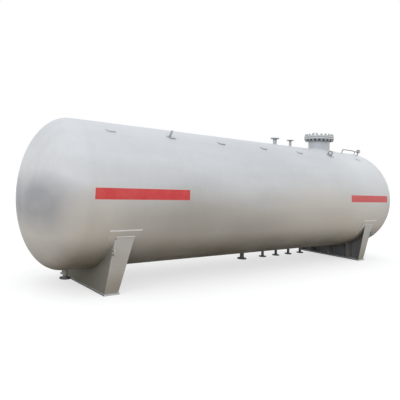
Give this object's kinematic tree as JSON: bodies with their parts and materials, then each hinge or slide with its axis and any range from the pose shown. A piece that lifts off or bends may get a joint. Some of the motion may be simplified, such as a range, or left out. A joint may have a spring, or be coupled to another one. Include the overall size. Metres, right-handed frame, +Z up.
{
  "type": "horizontal pressure tank",
  "caption": "Long horizontal steel pressure tank with dished ends on two saddles, with a bolted manhole on top and flanged nozzles above and below.",
  "frame": {"origin": "on the ground under the middle of the tank", "axes": "+X along the tank towards the manhole end, +Y to the back, +Z up"},
  "size_m": [9.368, 2.4279, 3.141],
  "materials": {
    "tank_paint": "satin silver-grey paint",
    "red_paint": "satin",
    "gasket": "matt",
    "stud_steel": "dull zinc-plated",
    "gauge_grey": "satin"
  },
  "bodies": {
    "root": {"shell_course_1": "tank_paint", "shell_course_2": "tank_paint", "shell_course_3": "tank_paint", "shell_course_4": "tank_paint", "head_left": "tank_paint", "head_right": "tank_paint", "saddle_left_base": "tank_paint", "saddle_left_web": "tank_paint", "saddle_left_ribs": "tank_paint", "saddle_left_pad": "tank_paint", "saddle_left_lugs": "tank_paint", "saddle_right_base": "tank_paint", "saddle_right_web": "tank_paint", "saddle_right_ribs": "tank_paint", "saddle_right_pad": "tank_paint", "saddle_right_lugs": "tank_paint", "manhole_pad": "tank_paint", "manhole_neck": "tank_paint", "manhole_flange": "tank_paint", "manhole_gasket": "gasket", "manhole_cover": "tank_paint", "manhole_studs": "stud_steel", "manhole_handle": "tank_paint", "top_nozzle_1_pipe": "tank_paint", "top_nozzle_1_flange": "tank_paint", "top_nozzle_2_pipe": "tank_paint", "top_nozzle_2_flange": "tank_paint", "bottom_nozzle_1_pipe": "tank_paint", "bottom_nozzle_1_flange": "tank_paint", "bottom_nozzle_2_pipe": "tank_paint", "bottom_nozzle_2_flange": "tank_paint", "bottom_nozzle_3_pipe": "tank_paint", "bottom_nozzle_3_flange": "tank_paint", "bottom_nozzle_4_pipe": "tank_paint", "bottom_nozzle_4_flange": "tank_paint", "bottom_nozzle_5_pipe": "tank_paint", "bottom_nozzle_5_flange": "tank_paint", "drain_nozzle_pipe": "tank_paint", "drain_nozzle_flange": "tank_paint", "lifting_lugs_front": "tank_paint", "lifting_lugs_back": "tank_paint", "brackets_front": "tank_paint", "brackets_back": "tank_paint", "gauge": "gauge_grey", "gauge_line": "gauge_grey"}
  },
  "joints": []
}
